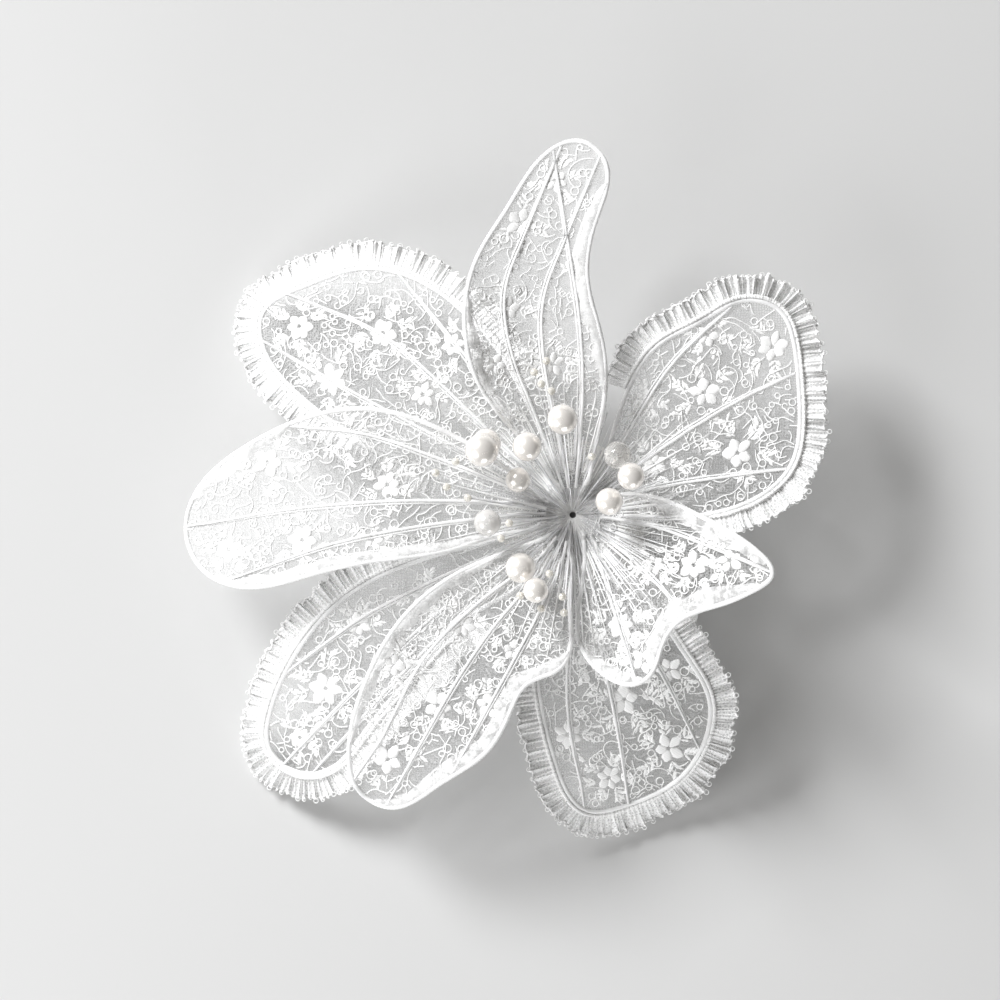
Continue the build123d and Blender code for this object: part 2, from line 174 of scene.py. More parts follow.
lamp("soft_window", (-0.97, 1.03, 1.03), (0, 0, 0.02), 0.6, 38.5, (0.985, 0.99, 1.0))
lamp("side_fill", (-0.5, -0.34, 0.4), (-0.12, -0.06, 0), 0.45, 2.2, (0.985, 0.99, 1.0))
lamp("low_fill", (0.16, -0.8, 0.11), (0.01, -0.04, 0.03), 0.3, 3.2, (0.985, 0.99, 1.0))

world = bpy.data.worlds.new("studio")
world.use_nodes = True
world.node_tree.nodes["Background"].inputs["Color"].default_value = (0.96, 0.93, 0.88, 1)
world.node_tree.nodes["Background"].inputs["Strength"].default_value = 0.14
scene.world = world

view_centre = Vector((-0.0146, 0.003))
view_height, view_width, petal_level = 1.6, 0.2, 0.025
camera_data = bpy.data.cameras.new("camera")
camera_data.lens = camera_data.sensor_width * (view_height - petal_level) / view_width
camera = bpy.data.objects.new("camera", camera_data)
camera.location = (view_centre.x, view_centre.y, view_height)
camera.rotation_euler = Euler((0, 0, 0))
scene.collection.objects.link(camera)
scene.camera = camera

# ------------------------------------------------------------ petals: the net
# Each petal is a piece of soft white net cut to shape and stretched over a wire frame. It is
# gathered at the neck, so it has a few fine creases that run out from the throat.

MM = 0.001
flower = "flower_and_upper_jaw"
rng = np.random.default_rng(7)


def piece(name, verts, faces, material, body=flower):
    """A mesh piece that rides on a body of the clip."""
    mesh = bpy.data.meshes.new(name)
    mesh.from_pydata([tuple(map(float, v)) for v in verts], [], faces)
    mesh.polygons.foreach_set("use_smooth", [True] * len(mesh.polygons))
    mesh.materials.append(material)
    mesh.update()
    made = bpy.data.objects.new(name, mesh)
    scene.collection.objects.link(made)
    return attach(made, body)


def islands(node):
    """The separate solids of a CAD node, each as an array of points."""
    work = bmesh.new()
    work.from_mesh(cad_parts[node].data)
    bmesh.ops.remove_doubles(work, verts=work.verts, dist=1e-6)
    work.verts.ensure_lookup_table()
    seen, found = set(), []
    for start in work.verts:
        if start.index in seen:
            continue
        stack, points = [start], []
        seen.add(start.index)
        while stack:
            vert = stack.pop()
            points.append(tuple(vert.co))
            for edge in vert.link_edges:
                other = edge.other_vert(vert)
                if other.index not in seen:
                    seen.add(other.index)
                    stack.append(other)
        found.append(np.array(points))
    work.free()
    return found


def rim(node):
    """The closed plan outline of a thin slab: the edges between its top and its side wall."""
    work = bmesh.new()
    work.from_mesh(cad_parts[node].data)
    bmesh.ops.remove_doubles(work, verts=work.verts, dist=1e-6)
    work.normal_update()
    following = {}
    for edge in work.edges:
        if len(edge.link_faces) != 2:
            continue
        top = [f.normal.z > 0.3 for f in edge.link_faces]
        wall = [abs(f.normal.z) <= 0.3 for f in edge.link_faces]
        if any(top) and any(wall):
            a, b = (v.index for v in edge.verts)
            following.setdefault(a, []).append(b)
            following.setdefault(b, []).append(a)
    work.verts.ensure_lookup_table()
    start = next(iter(following))
    chain, last, here = [start], None, start
    while True:
        ahead = [n for n in following[here] if n != last and (n not in chain[1:])]
        if not ahead or ahead[0] == start:
            break
        last, here = here, ahead[0]
        chain.append(here)
    loop = np.array([work.verts[i].co[:2] for i in chain])
    work.free()
    return loop


def even(points, step, closed=False):
    """The same line with evenly spaced points."""
    points = np.asarray(points, float)
    if closed:
        points = np.vstack([points, points[:1]])
    run = np.concatenate([[0], np.cumsum(np.linalg.norm(np.diff(points, axis=0), axis=1))])
    count = max(2, int(round(run[-1] / step)) + 1)
    at = np.linspace(0, run[-1], count)
    made = np.column_stack([np.interp(at, run, points[:, k]) for k in range(points.shape[1])])
    return made[:-1] if closed else made


def smoothed(points, times, closed=False):
    for _ in range(times):
        if closed:
            points = (np.roll(points, 1, 0) + 2 * points + np.roll(points, -1, 0)) / 4
        else:
            between = (points[:-2] + 2 * points[1:-1] + points[2:]) / 4
            points = np.vstack([points[:1], between, points[-1:]])
    return points


class Petal:
    """A petal as the frame has it: its outline and surface, with the creases of real net."""

    crease = 0.22 * MM
    crease_reach = 26 * MM  # the creases fade away this far from the throat
    ripple = 0.32 * MM / 5 * 1.6  # height of each of the five long waves
    margin = 8 * MM  # the depth grid runs this far past the outline
    cell = 0.3 * MM

    def __init__(self, name):
        self.name = name
        slab = np.array([v.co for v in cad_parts[f"{name}_lace"].data.vertices])
        self.terms, *_ = np.linalg.lstsq(self.powers(slab[:, :2]), slab[:, 2], rcond=None)
        loop = smoothed(even(rim(f"{name}_lace"), 0.5 * MM, closed=True), 3, closed=True)
        start = np.argmin(np.linalg.norm(loop, axis=1))
        loop = np.roll(loop, -start, axis=0)
        x, y = loop.T
        if np.sum(x * np.roll(y, -1) - np.roll(x, -1) * y) < 0:
            loop = np.vstack([loop[:1], loop[1:][::-1]])
        self.outline = loop
        along = np.roll(loop, -1, 0) - np.roll(loop, 1, 0)
        along /= np.linalg.norm(along, axis=1)[:, None]
        self.outwards = smoothed(np.column_stack([along[:, 1], -along[:, 0]]), 6, closed=True)
        self.waves = [
            (rng.uniform(0, pi), rng.uniform(500, 900), rng.uniform(0, tau)) for _ in range(5)
        ]
        self.pleats = rng.uniform(0, tau)
        self.low = loop.min(0) - self.margin
        size = ((loop.max(0) + self.margin - self.low) / self.cell).astype(int) + 1
        lines = [self.low[k] + np.arange(size[k]) * self.cell for k in (0, 1)]
        grid = np.stack(np.meshgrid(*lines, indexing="ij"), -1)
        self.depth = self.depth_of(grid.reshape(-1, 2)).reshape(size)

    @staticmethod
    def powers(xy):
        x, y = xy[:, 0], xy[:, 1]
        return np.column_stack([np.ones(len(x)), x, y, x * x, x * y, y * y])

    def depth_of(self, xy):
        """How far inside the outline each point is; negative outside."""
        nearest = np.full(len(xy), 1e9)
        for part in np.array_split(self.outline, 12):
            gap = np.linalg.norm(xy[:, None, :] - part[None, :, :], axis=2).min(1)
            nearest = np.minimum(nearest, gap)
        x, y = xy.T
        inside = np.zeros(len(xy), bool)
        after = np.roll(self.outline, -1, axis=0)
        for (ax, ay), (bx, by) in zip(self.outline, after):
            crossing = (ay > y) != (by > y)
            if crossing.any():
                inside ^= crossing & (x < (bx - ax) * (y - ay) / (by - ay + 1e-15) + ax)
        return np.where(inside, nearest, -nearest)

    def depth_at(self, x, y):
        i = int(round((x - self.low[0]) / self.cell))
        j = int(round((y - self.low[1]) / self.cell))
        if 0 <= i < self.depth.shape[0] and 0 <= j < self.depth.shape[1]:
            return self.depth[i, j]
        return -1.0

    def lay(self, xy, lift=0.0):
        """Points on the petal's surface, lifted off it."""
        xy = np.asarray(xy, float).reshape(-1, 2)
        z = self.powers(xy) @ self.terms
        for angle, rate, phase in self.waves:
            along = xy[:, 0] * cos(angle) + xy[:, 1] * sin(angle)
            z += self.ripple * np.sin(along * rate + phase)
        reach_out = np.hypot(xy[:, 0], xy[:, 1])
        turn = np.arctan2(xy[:, 1], xy[:, 0])
        fading = np.exp(-((reach_out / self.crease_reach) ** 2))
        z += self.crease * fading * np.sin(turn * 46 + self.pleats)
        return np.column_stack([xy, z + lift])


petals = {
    name: Petal(name)
    for name in (
        "front_top", "front_left", "front_lower_left", "front_lower_right",
        "back_upper_left", "back_upper_right", "back_lower_left", "back_bottom",
    )
}


def net_finish():
    """Fine net: threads a tenth of a millimetre thick round holes of under a millimetre."""
    finish = Finish(
        "white_net", (0.8, 0.8, 0.8), 0.6, **{"Sheen Weight": 0.2, "Specular IOR Level": 0.2}
    )
    cells = finish.node(
        "ShaderNodeTexVoronoi", {"feature": "DISTANCE_TO_EDGE"},
        {"Vector": finish.place, "Scale": 1900.0, "Randomness": 0.5},
    )["Distance"]
    thread = 1 - cells.above(0.1, 0.04)
    uneven = finish.noise(140, 2)
    finish.set(Alpha=thread * (0.26 + 0.26 * uneven) + 0.05)
    return finish.material


net_material = net_finish()


def triangulated(petal, spacing):
    """A flat triangle mesh inside the petal's outline."""
    edge = petal.outline[:: max(1, int(round(spacing * 0.6 / (0.5 * MM))))]
    low, high = petal.outline.min(0), petal.outline.max(0)
    inner = []
    for row, y in enumerate(np.arange(low[1], high[1], spacing * 0.87)):
        for x in np.arange(low[0] + (row % 2) * spacing / 2, high[0], spacing):
            if petal.depth_at(x, y) > spacing * 0.45:
                inner.append((x, y))
    points = [Vector(p) for p in edge] + [Vector(p) for p in inner]
    ring = [(i, (i + 1) % len(edge)) for i in range(len(edge))]
    verts, _, faces, *_ = delaunay_2d_cdt(points, ring, [], 1, 1e-7)
    return np.array([tuple(v) for v in verts]), faces


for name, petal in petals.items():
    plan, faces = triangulated(petal, 1.3 * MM)
    surface = petal.lay(plan)
    net = piece(f"{name}_net", surface, faces, net_material)
    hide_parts(f"{name}_lace")
    axis = petal.outline[np.argmax(np.linalg.norm(petal.outline, axis=1))]
    axis = axis / np.linalg.norm(axis)
    along, across = plan @ axis, plan @ np.array([-axis[1], axis[0]])

# ------------------------------------------------------------ petals: the embroidery
# Machine embroidery in white thread covers the net: fine cords that wander in loops and curls,
# and sprays of satin-stitched flowers with little toothed leaves between them.


class Stitching:
    """Collects the thin tubes and pads of one piece as it is sewn."""

    def __init__(self):
        self.verts, self.faces = [], []

    def add(self, verts, faces):
        start = len(self.verts)
        self.verts.extend(map(tuple, verts))
        self.faces.extend(tuple(start + i for i in face) for face in faces)

    def cord(self, points, radius, sides=4, side=None, flat=1.0, caps=True):
        """A tube along points. side is the direction of its width where a run may be upright."""
        points = np.asarray(points, float)
        count = len(points)
        if count < 2:
            return
        ahead = np.gradient(points, axis=0)
        ahead /= np.linalg.norm(ahead, axis=1)[:, None] + 1e-12
        if side is None:
            wide = np.cross(ahead, (0, 0, 1))
        else:
            wide = np.asarray(side) - (ahead @ np.asarray(side))[:, None] * ahead
        wide /= np.linalg.norm(wide, axis=1)[:, None] + 1e-12
        up = np.cross(wide, ahead)
        radius = np.broadcast_to(np.asarray(radius, float), (count,))
        turns = np.arange(sides) * tau / sides + pi / sides
        sideways = np.cos(turns)[None, :, None] * wide[:, None, :]
        upwards = flat * np.sin(turns)[None, :, None] * up[:, None, :]
        ring = (points[:, None, :] + radius[:, None, None] * (sideways + upwards)).reshape(-1, 3)
        faces = []
        for i in range(count - 1):
            a, b = i * sides, (i + 1) * sides
            for k in range(sides):
                m = (k + 1) % sides
                faces.append((a + k, b + k, b + m, a + m))
        if caps:
            faces.append(tuple(range(sides)))
            faces.append(tuple((count - 1) * sides + k for k in reversed(range(sides))))
        self.add(ring, faces)


def embroidery_finish():
    finish = Finish(
        "embroidery_thread", (0.97, 0.97, 0.965), 0.5,
        **{"Sheen Weight": 0.35, "Sheen Roughness": 0.4, "Specular IOR Level": 0.35},
    )
    strand = finish.node(
        "ShaderNodeTexWave", {"wave_type": "BANDS", "bands_direction": "DIAGONAL"},
        {"Vector": finish.place, "Scale": 900.0, "Distortion": 3.0, "Detail": 2.0},
    )["Fac"]
    fuzz = finish.noise(2600, 2)
    tone = finish.noise(90, 3)
    finish.set(**{"Base Color": finish.mix(tone, (0.97, 0.97, 0.965), (0.99, 0.99, 0.985))})
    finish.set(Roughness=0.42 + 0.25 * fuzz)
    finish.bump(strand * 0.7 + fuzz * 0.5, 0.00006, 0.6)
    return finish.material


thread_material = embroidery_finish()
vermicelli_radius = 0.165 * MM
satin_height = 0.17 * MM
stitch = 0.24  # one step of a wandering cord, in mm
cell_size = 0.42  # of the grid that keeps the cords apart, in mm

# the middle of each embroidered flower on the plan, and its size against a full one, in mm
sprays = {
    "front_top": [
        (-10.4, 58, 1.0), (-3.5, 66.5, 0.8), (-13, 41, 0.8),
        (2.2, 48, 0.7), (-4, 30, 0.8), (-15.5, 30, 0.7),
    ],
    "front_left": [
        (-61, 10.5, 1.0), (-54, -5, 1.0), (-37, 6, 0.9),
        (-69, -7, 0.8), (-45, 15, 0.8), (-40, -5, 0.7),
    ],
    "front_lower_left": [
        (-37, -49, 1.0), (-27, -38, 1.0), (-36, -30, 0.8),
        (-17, -38, 0.8), (-22, -22, 0.8), (-12, -27, 0.7),
    ],
    "front_lower_right": [
        (24, -10, 0.9), (9.5, -22, 0.9), (31, -9, 0.8),
        (14, -29, 0.8), (16, -10, 0.7),
    ],
    "back_upper_left": [
        (-38, 36.5, 1.0), (-48.6, 27, 1.05), (-30, 24, 0.8),
        (-55, 38, 0.9), (-24, 34, 0.8),
    ],
    "back_upper_right": [
        (26.4, 24.5, 1.05), (33, 12.4, 1.1), (40, 33.6, 1.0),
        (16.4, 10, 0.9), (27, 36, 0.75), (14.6, 23, 0.7),
    ],
    "back_lower_left": [
        (-49.6, -35, 1.1), (-55, -45, 0.8), (-43, -22, 0.8),
        (-36, -30, 0.7), (-30, -16, 0.8),
    ],
    "back_bottom": [
        (10.4, -37, 1.1), (-1, -44, 0.9), (19.4, -47, 1.0),
        (19.4, -31, 0.9), (7.4, -53, 0.8), (3, -28, 0.8),
    ],
}


def pad(stitching, petal, centre, heading, length, width, height, rows=7, toothed=False):
    """A satin-stitched shape: a low domed leaf with ridges from stitch to stitch."""
    across = 4
    faces = []
    tip = np.array([cos(heading), sin(heading)])
    wide = np.array([-tip[1], tip[0]])
    plan, lift = [], []
    for i in range(rows + 1):
        s = i / rows
        half = width / 2 * (sin(pi * min(max(s, 0.03), 0.97)) ** 0.7)
        half *= (0.6 if toothed and i % 2 else 1) * rng.uniform(0.86, 1.12)
        for k in range(across + 1):
            t = k / across * 2 - 1
            plan.append(np.asarray(centre) + tip * (s * length) + wide * (half * t))
            ridge = 1 + (0.22 if (i + k) % 2 else -0.12)
            dome = height * (1 - t * t) ** 0.5 * sin(pi * min(max(s, 0.06), 0.94)) ** 0.5
            lift.append(dome * ridge)
    laid = petal.lay(np.array(plan))
    laid[:, 2] += 0.05 * MM + np.array(lift)
    for i in range(rows):
        for k in range(across):
            a = i * (across + 1) + k
            faces.append((a, a + 1, a + across + 2, a + across + 1))
    verts = list(laid)
    under = petal.lay(np.array(plan))
    under[:, 2] -= 0.06 * MM
    ring = (
        list(range(across + 1))
        + [i * (across + 1) + across for i in range(1, rows + 1)]
        + [rows * (across + 1) + k for k in reversed(range(across))]
        + [i * (across + 1) for i in reversed(range(1, rows))]
    )
    base = len(verts)
    verts += [under[i] for i in ring]
    for n in range(len(ring)):
        m = (n + 1) % len(ring)
        faces.append((ring[m], ring[n], base + n, base + m))
    faces.append(tuple(base + n for n in range(len(ring))))
    stitching.add(verts, faces)


def sprig(stitching, petal, x, y, heading, size):
    """A short curved stem with toothed leaves down both sides."""
    bend = rng.uniform(-0.13, 0.13)
    for _ in range(int(rng.integers(3, 5))):
        heading += bend
        x, y = x + size * 0.9 * MM * cos(heading), y + size * 0.9 * MM * sin(heading)
        for side in (-1, 1):
            lean = heading + side * rng.uniform(0.5, 1.0)
            long = size * rng.uniform(1.4, 2.5) * MM
            if petal.depth_at(x + long * cos(lean), y + long * sin(lean)) > 0.4 * MM:
                broad = rng.uniform(0.6, 1.1) * MM
                low = satin_height * 0.6
                pad(stitching, petal, (x, y), lean, long, broad, low, rows=6, toothed=True)


def flower_spray(stitching, petal, x, y, size):
    """A five- or six-petalled embroidered flower with sprigs of small leaves round it."""
    start = rng.uniform(0, tau)
    count = int(rng.integers(5, 7))
    for i in range(count):
        turn = start + tau * i / count + rng.uniform(-0.14, 0.14)
        root = (x + 0.35 * MM * cos(turn), y + 0.35 * MM * sin(turn))
        long = size * rng.uniform(2.2, 3.1) * MM
        if petal.depth_at(root[0] + long * cos(turn), root[1] + long * sin(turn)) > 0.3 * MM:
            broad = size * rng.uniform(1.8, 2.4) * MM
            pad(stitching, petal, root, turn, long, broad, satin_height)
    for i in range(int(rng.integers(5, 7))):
        turn = start + tau * (i + 0.5) / 6 + rng.uniform(-0.2, 0.2)
        out = size * rng.uniform(1.9, 2.7) * MM
        sprig(stitching, petal, x + out * cos(turn), y + out * sin(turn), turn, size)


def vermicelli(petal, taken):
    """Fine cords that wander over the net, loop the loop, and stop where they meet another."""
    cell = cell_size * MM
    lines = []
    low, high = petal.outline.min(0), petal.outline.max(0)
    area = np.ptp(petal.outline[:, 0]) * np.ptp(petal.outline[:, 1])
    for _ in range(int(area / (1.6 * MM) ** 2)):
        x, y = rng.uniform(low, high)
        heading = rng.uniform(0, tau)
        key = (int(x / cell), int(y / cell))
        if petal.depth_at(x, y) < 0.5 * MM or key in taken:
            continue
        line, own, bend, loop = [(x, y)], [key], rng.uniform(-500, 500), 0.0
        for _ in range(int(rng.integers(26, 64))):
            if loop > 0:
                loop -= abs(bend) * stitch * MM
                if loop <= 0:
                    bend = rng.uniform(-260, 260)
            elif rng.random() < 0.05:
                bend = rng.choice((-1, 1)) / (rng.uniform(0.5, 0.85) * MM)
                loop = rng.uniform(4.6, 6.6)
            elif rng.random() < 0.2:
                bend = rng.uniform(-750, 750)
            heading += bend * stitch * MM
            x, y = x + stitch * MM * cos(heading), y + stitch * MM * sin(heading)
            if petal.depth_at(x, y) < 0.4 * MM:
                break
            line.append((x, y))
            key = (int(x / cell), int(y / cell))
            if key in taken and loop <= 0:
                break
            own.append(key)
        taken.update(own)
        if len(line) > 6:
            lines.append(np.array(line))
    return lines


for name, petal in petals.items():
    sewn = Stitching()
    taken = set()
    for x, y, size in sprays[name]:
        flower_spray(sewn, petal, x * MM, y * MM, size)
        column, row = int(x * MM / (cell_size * MM)), int(y * MM / (cell_size * MM))
        for i in range(-7, 8):
            for j in range(-7, 8):
                if hypot(i, j) * cell_size < 3.0 * size:
                    taken.add((column + i, row + j))
    for line in vermicelli(petal, taken):
        knots = 1 + 0.22 * (np.arange(len(line)) % 2) - 0.1
        sewn.cord(petal.lay(line, 0.12 * MM), vermicelli_radius * knots, sides=4, caps=False)
    piece(f"{name}_embroidery", sewn.verts, sewn.faces, thread_material)

# ------------------------------------------------------------ petals: edge wires and veins
# A fine wire runs round each petal, closely wrapped in white thread, with both ends in the bound
# stem. Thinner covered wires run along the petal and hold its curve.

stem_ring = 3.2 * MM
wrap_pitch = 0.62 * MM
edge_radius = 0.5 * MM
neck_gap = 1.2 * MM  # the wire leaves the outline open this much round the neck
vein_radius = 0.36 * MM


def wrapped_finish():
    finish = Finish(
        "wrapping_thread", (0.97, 0.97, 0.965), 0.5,
        **{"Sheen Weight": 0.3, "Specular IOR Level": 0.35, "Subsurface Weight": 0.7,
           "Subsurface Radius": (1, 1, 1), "Subsurface Scale": 0.0006},
    )
    fuzz = finish.noise(3200, 2)
    finish.set(**{"Base Color": finish.mix(fuzz, (0.94, 0.94, 0.935), (0.985, 0.985, 0.98))})
    finish.bump(fuzz, 0.00008, 0.7)
    return finish.material


wrapped_material = wrapped_finish()


def wrapped(count, radius):
    """Radii of a tube wrapped in thread: a ridge at every other station."""
    return radius * (1 + 0.2 * (np.arange(count) % 2) - 0.1 + rng.normal(0, 0.03, count))


def leg(sewn, neck, throat_z, foot_z, radius):
    """A wire's end, from the petal's neck down into the bound stem."""
    turn = atan2(neck[1], neck[0])
    ring = np.array([cos(turn), sin(turn)]) * stem_ring
    path = [(*ring, foot_z), (*ring, (foot_z + throat_z) / 2), (*ring, throat_z), tuple(neck)]
    path = smoothed(even(path, 0.5 * MM), 6)
    sewn.cord(path, radius, sides=8, side=(-sin(turn), cos(turn), 0))


legs_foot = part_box("stem_bundle")[0].z
for name, petal in petals.items():
    sewn = Stitching()
    loop = even(petal.outline, wrap_pitch / 2, closed=True)
    near = np.linalg.norm(loop, axis=1) < np.linalg.norm(loop, axis=1).min() + neck_gap
    route = petal.lay(loop[~near], 0.1 * MM)
    split = np.argmax(np.linalg.norm(np.diff(route, axis=0), axis=1))
    if np.linalg.norm(route[split + 1] - route[split]) > 3 * wrap_pitch:
        route = np.roll(route, -(split + 1), axis=0)
    radii = wrapped(len(route), edge_radius)
    sewn.cord(route, radii, sides=8)
    throat_z = petal.lay([(0, 0)])[0][2] - 1.4 * MM
    for end in (route[0], route[-1]):
        leg(sewn, end, throat_z, legs_foot, edge_radius * 0.9)
    made = piece(
        f"{name}_wrapped_edge", sewn.verts, sewn.faces, wrapped_material
    )
    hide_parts(f"{name}_edge_wire")

    sewn = Stitching()
    for points in islands(f"{name}_veins"):
        reach_out = np.hypot(points[:, 0], points[:, 1])
        bins = np.arange(reach_out.min(), reach_out.max() + 2.4 * MM, 2.4 * MM)
        slices = [(reach_out >= a) & (reach_out < b) for a, b in zip(bins, bins[1:])]
        middle = [points[part][:, :2].mean(0) for part in slices if part.any()]
        line = smoothed(even(middle, 0.3 * MM), 30)
        run_on = (line[-1] - line[-2]) / np.linalg.norm(line[-1] - line[-2]) * 0.3 * MM
        while petal.depth_at(*line[-1]) > 0.45 * MM:
            line = np.vstack([line, line[-1] + run_on])
        root = line[0] / np.linalg.norm(line[0]) * 5.5 * MM
        line = smoothed(even(np.vstack([root, line]), 0.26 * MM), 12)
        count = len(line)
        swell = vein_radius * (1 - 0.25 * np.linspace(0, 1, count))
        sewn.cord(petal.lay(line, 0.3 * MM), swell * (1 + 0.08 * (np.arange(count) % 2)), sides=6)
        step = np.gradient(line, axis=0)
        beside = np.column_stack([-step[:, 1], step[:, 0]])
        beside = beside / (np.linalg.norm(step, axis=1)[:, None] + 1e-12)
        second = line + beside * (0.62 * MM) * np.sin(np.linspace(0.15, pi * 0.95, count))[:, None]
        sewn.cord(petal.lay(second, 0.22 * MM), 0.2 * MM, sides=5)
    made = piece(f"{name}_vein_wires", sewn.verts, sewn.faces, wrapped_material)
    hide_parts(f"{name}_veins")

# ------------------------------------------------------------ back petals: the ruffles
# A strip of lace edging, gathered into fine pleats along a thread and sewn round each back
# petal. Its free edge is scalloped, with a small picot loop on every scallop.

ruffle_from = 27.0 * MM
pleat_pitch = 0.95 * MM


def ruffle_finish():
    finish = Finish(
        "lace_edging", (0.97, 0.97, 0.965), 0.6,
        **{"Sheen Weight": 0.3, "Specular IOR Level": 0.25, "Subsurface Weight": 0.5,
           "Subsurface Radius": (1, 1, 1), "Subsurface Scale": 0.0008},
    )
    holes = finish.node(
        "ShaderNodeTexVoronoi", {"feature": "DISTANCE_TO_EDGE"},
        {"Vector": finish.place, "Scale": 1500.0, "Randomness": 0.8},
    )["Distance"]
    thread = 1 - holes.above(0.2, 0.08)
    finish.set(Alpha=0.66 + thread * 0.34)
    finish.bump(finish.noise(1800, 3), 0.0001, 0.8)
    return finish.material


ruffle_material = ruffle_finish()

for name in ("back_upper_left", "back_upper_right", "back_lower_left", "back_bottom"):
    petal = petals[name]
    keep = np.hypot(petal.outline[:, 0], petal.outline[:, 1]) > ruffle_from
    shift = int(np.argmin(keep))
    keep, loop, outwards = (
        np.roll(a, -shift, axis=0) for a in (keep, petal.outline, petal.outwards)
    )
    loop, outwards = loop[keep], outwards[keep]
    step = pleat_pitch / 6
    both = even(np.hstack([loop, outwards * 0.02]), step)
    loop, outwards = both[:, :2], both[:, 2:]
    outwards = outwards / np.linalg.norm(outwards, axis=1)[:, None]
    count = len(loop)
    run = np.arange(count) * step
    knots = np.arange(0, run[-1] + 4 * MM, 2 * MM)
    phase = run / pleat_pitch * tau + np.interp(run, knots, rng.uniform(-1.4, 1.4, len(knots)))
    strength = np.interp(run, np.linspace(0, run[-1], 40), rng.uniform(0.6, 1.2, 40))
    fringe = np.interp(run, np.linspace(0, run[-1], 60), rng.uniform(0.86, 1.1, 60))
    rows = 9
    along = np.gradient(loop, axis=0)
    along /= np.linalg.norm(along, axis=1)[:, None]
    verts = []
    for r in range(rows):
        share = r / (rows - 1)
        wide = 0.3 * MM + share * (4.3 * MM * fringe + 0.7 * MM * np.abs(np.sin(phase / 4.6)))
        sway = share * 0.3 * MM * np.sin(phase / 2 + 1.0) + share * 0.25 * MM * np.cos(phase)
        plan = loop + outwards * np.reshape(wide, (-1, 1)) + along * sway[:, None]
        laid = petal.lay(plan)
        swing = (0.08 + 0.36 * share ** 0.7) * MM * strength
        laid[:, 2] += swing * np.sin(phase) + share * 0.6 * MM * np.sin(phase / 5.3)
        verts.append(laid)
    stack = np.stack(verts)
    faces = [
        (r * count + i, r * count + i + 1, (r + 1) * count + i + 1, (r + 1) * count + i)
        for r in range(rows - 1) for i in range(count - 1)
    ]
    frill = piece(f"{name}_frill", stack.reshape(-1, 3), faces, ruffle_material)
    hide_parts(f"{name}_ruffle")
    # the strip is 5.2 mm wide; a sheet's stated width is at least 10 mm
    trim = Stitching()
    header = petal.lay(loop + outwards * 0.8 * MM)
    header[:, 2] += 0.28 * MM + 0.1 * MM * np.sin(phase)
    trim.cord(header, 0.4 * MM * (1 + 0.16 * np.sin(phase * 1.7)), sides=7)
    rim_line = stack[-1]
    trim.cord(rim_line, 0.2 * MM * (1 + 0.4 * np.sin(phase * 1.9)), sides=5, side=(0, 0, 1))
    scallop = int(round(2 * pleat_pitch / step))
    for i in range(scallop, count - scallop, scallop):
        base, out = rim_line[i], np.array([*outwards[i], 0.0])
        ahead = np.array([*along[i], 0.0])
        size = rng.uniform(0.22, 0.5) * MM
        turns = np.linspace(-0.35 * pi, 1.35 * pi, 11)
        tilted = out + np.array([0, 0, rng.uniform(-0.4, 0.5)])
        loop_line = base + out * size * 0.75 + size * (
            np.cos(turns)[:, None] * ahead + np.sin(turns)[:, None] * tilted
        )
        trim.cord(loop_line, 0.12 * MM, sides=4, side=(0, 0, 1))
    piece(f"{name}_picot_edge", trim.verts, trim.faces, thread_material)

# ------------------------------------------------------------ front petals: turned-over net
# The front petals have no ruffle. Their net is cut a little wide, turned over the wire and caught
# down, so soft creased bands of doubled net follow parts of the edge.


def doubled_net_finish():
    finish = Finish(
        "doubled_net", (0.97, 0.97, 0.965), 0.6,
        **{"Sheen Weight": 0.3, "Specular IOR Level": 0.2, "Subsurface Weight": 0.4,
           "Subsurface Radius": (1, 1, 1), "Subsurface Scale": 0.0006},
    )
    worn = finish.noise(420, 4, 0.6)
    finish.set(Alpha=0.3 + 0.55 * worn.above(0.5, 0.14))
    finish.bump(finish.noise(1500, 3), 0.00008, 0.7)
    return finish.material


doubled_material = doubled_net_finish()

